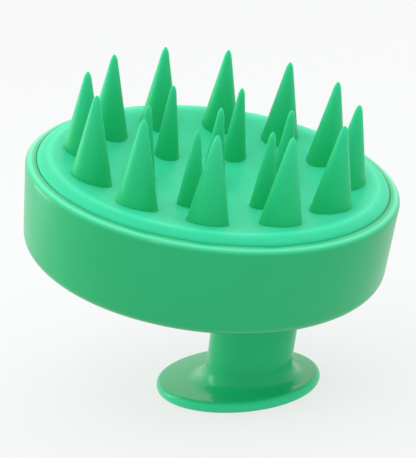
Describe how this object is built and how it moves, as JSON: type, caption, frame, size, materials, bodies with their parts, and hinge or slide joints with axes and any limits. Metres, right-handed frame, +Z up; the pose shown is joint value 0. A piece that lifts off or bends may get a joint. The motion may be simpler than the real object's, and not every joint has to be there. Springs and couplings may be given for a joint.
{
  "type": "scalp massager brush",
  "caption": "Round hand-held scalp massager brush: soft tapered silicone bristles on a dished pad in a shallow cup, carried on a slanted mushroom handle.",
  "frame": {"origin": "centre of the knob's flat underside, the face the brush stands on", "axes": "+Z up, out of the knob towards the head; +X the way the neck and the head's axis lean, in the plane of symmetry; +Y to the left of that"},
  "size_m": [0.0859, 0.085, 0.0774],
  "materials": {
    "shell_plastic": "satin moulded green plastic",
    "handle_plastic": "polished moulded green plastic",
    "pad_silicone": "matte mint silicone",
    "bristle_silicone": "soft satin green silicone, slightly translucent at the tips",
    "plate_plastic": "plain moulded plastic, hidden",
    "screw_steel": "plated steel, hidden"
  },
  "bodies": {
    "brush": {"backing_plate": "plate_plastic", "bristle_pad": "pad_silicone", "handle": "handle_plastic", "handle_screw": "screw_steel", "handle_washer": "screw_steel", "head_shell": "shell_plastic", "plate_screw_1": "screw_steel", "plate_screw_2": "screw_steel", "plate_screw_3": "screw_steel", "plate_screw_4": "screw_steel"},
    "long_bristle_01": {"long_bristle_01": "bristle_silicone"},
    "long_bristle_02": {"long_bristle_02": "bristle_silicone"},
    "long_bristle_03": {"long_bristle_03": "bristle_silicone"},
    "long_bristle_04": {"long_bristle_04": "bristle_silicone"},
    "long_bristle_05": {"long_bristle_05": "bristle_silicone"},
    "long_bristle_06": {"long_bristle_06": "bristle_silicone"},
    "long_bristle_07": {"long_bristle_07": "bristle_silicone"},
    "long_bristle_08": {"long_bristle_08": "bristle_silicone"},
    "long_bristle_09": {"long_bristle_09": "bristle_silicone"},
    "long_bristle_10": {"long_bristle_10": "bristle_silicone"},
    "long_bristle_11": {"long_bristle_11": "bristle_silicone"},
    "long_bristle_12": {"long_bristle_12": "bristle_silicone"},
    "short_bristle_01": {"short_bristle_01": "bristle_silicone"},
    "short_bristle_02": {"short_bristle_02": "bristle_silicone"},
    "short_bristle_03": {"short_bristle_03": "bristle_silicone"},
    "short_bristle_04": {"short_bristle_04": "bristle_silicone"},
    "short_bristle_05": {"short_bristle_05": "bristle_silicone"},
    "short_bristle_06": {"short_bristle_06": "bristle_silicone"},
    "centre_bristle": {"centre_bristle": "bristle_silicone"}
  },
  "joints": [
    {"name": "long_bristle_01_bend", "type": "hinge", "parent": "brush", "child": "long_bristle_01", "pos_m": [0.02518, 0.00782, 0.04333], "axis": [-0.2493, 0.9659, 0.0696], "range_deg": [-30, 30], "stiffness_Nm_per_rad": 0.05},
    {"name": "long_bristle_02_bend", "type": "hinge", "parent": "brush", "child": "long_bristle_02", "pos_m": [0.01765, 0.02135, 0.04544], "axis": [-0.6811, 0.7071, 0.1902], "range_deg": [-30, 30], "stiffness_Nm_per_rad": 0.05},
    {"name": "long_bristle_03_bend", "type": "hinge", "parent": "brush", "child": "long_bristle_03", "pos_m": [0.00461, 0.02917, 0.04908], "axis": [-0.9303, 0.2588, 0.2598], "range_deg": [-30, 30], "stiffness_Nm_per_rad": 0.05},
    {"name": "long_bristle_04_bend", "type": "hinge", "parent": "brush", "child": "long_bristle_04", "pos_m": [-0.01045, 0.02917, 0.05328], "axis": [-0.9303, -0.2588, 0.2598], "range_deg": [-30, 30], "stiffness_Nm_per_rad": 0.05},
    {"name": "long_bristle_05_bend", "type": "hinge", "parent": "brush", "child": "long_bristle_05", "pos_m": [-0.02349, 0.02135, 0.05692], "axis": [-0.6811, -0.7071, 0.1902], "range_deg": [-30, 30], "stiffness_Nm_per_rad": 0.05},
    {"name": "long_bristle_06_bend", "type": "hinge", "parent": "brush", "child": "long_bristle_06", "pos_m": [-0.03102, 0.00782, 0.05902], "axis": [-0.2493, -0.9659, 0.0696], "range_deg": [-30, 30], "stiffness_Nm_per_rad": 0.05},
    {"name": "long_bristle_07_bend", "type": "hinge", "parent": "brush", "child": "long_bristle_07", "pos_m": [-0.03102, -0.00782, 0.05902], "axis": [0.2493, -0.9659, -0.0696], "range_deg": [-30, 30], "stiffness_Nm_per_rad": 0.05},
    {"name": "long_bristle_08_bend", "type": "hinge", "parent": "brush", "child": "long_bristle_08", "pos_m": [-0.02349, -0.02135, 0.05692], "axis": [0.6811, -0.7071, -0.1902], "range_deg": [-30, 30], "stiffness_Nm_per_rad": 0.05},
    {"name": "long_bristle_09_bend", "type": "hinge", "parent": "brush", "child": "long_bristle_09", "pos_m": [-0.01045, -0.02917, 0.05328], "axis": [0.9303, -0.2588, -0.2598], "range_deg": [-30, 30], "stiffness_Nm_per_rad": 0.05},
    {"name": "long_bristle_10_bend", "type": "hinge", "parent": "brush", "child": "long_bristle_10", "pos_m": [0.00461, -0.02917, 0.04908], "axis": [0.9303, 0.2588, -0.2598], "range_deg": [-30, 30], "stiffness_Nm_per_rad": 0.05},
    {"name": "long_bristle_11_bend", "type": "hinge", "parent": "brush", "child": "long_bristle_11", "pos_m": [0.01765, -0.02135, 0.04544], "axis": [0.6811, 0.7071, -0.1902], "range_deg": [-30, 30], "stiffness_Nm_per_rad": 0.05},
    {"name": "long_bristle_12_bend", "type": "hinge", "parent": "brush", "child": "long_bristle_12", "pos_m": [0.02518, -0.00782, 0.04333], "axis": [0.2493, 0.9659, -0.0696], "range_deg": [-30, 30], "stiffness_Nm_per_rad": 0.05},
    {"name": "short_bristle_01_bend", "type": "hinge", "parent": "brush", "child": "short_bristle_01", "pos_m": [0.01213, 0, 0.04409], "axis": [0, 1, 0], "range_deg": [-30, 30], "stiffness_Nm_per_rad": 0.03},
    {"name": "short_bristle_02_bend", "type": "hinge", "parent": "brush", "child": "short_bristle_02", "pos_m": [0.00423, 0.0142, 0.04629], "axis": [-0.8341, 0.5, 0.2329], "range_deg": [-30, 30], "stiffness_Nm_per_rad": 0.03},
    {"name": "short_bristle_03_bend", "type": "hinge", "parent": "brush", "child": "short_bristle_03", "pos_m": [-0.01157, 0.0142, 0.0507], "axis": [-0.8341, -0.5, 0.2329], "range_deg": [-30, 30], "stiffness_Nm_per_rad": 0.03},
    {"name": "short_bristle_04_bend", "type": "hinge", "parent": "brush", "child": "short_bristle_04", "pos_m": [-0.01946, 0, 0.05291], "axis": [0, -1, 0], "range_deg": [-30, 30], "stiffness_Nm_per_rad": 0.03},
    {"name": "short_bristle_05_bend", "type": "hinge", "parent": "brush", "child": "short_bristle_05", "pos_m": [-0.01157, -0.0142, 0.0507], "axis": [0.8341, -0.5, -0.2329], "range_deg": [-30, 30], "stiffness_Nm_per_rad": 0.03},
    {"name": "short_bristle_06_bend", "type": "hinge", "parent": "brush", "child": "short_bristle_06", "pos_m": [0.00423, -0.0142, 0.04629], "axis": [0.8341, 0.5, -0.2329], "range_deg": [-30, 30], "stiffness_Nm_per_rad": 0.03},
    {"name": "centre_bristle_bend", "type": "hinge", "parent": "brush", "child": "centre_bristle", "pos_m": [-0.00398, 0, 0.04739], "axis": [-0.9632, 0, 0.2689], "range_deg": [-30, 30], "stiffness_Nm_per_rad": 0.03}
  ]
}
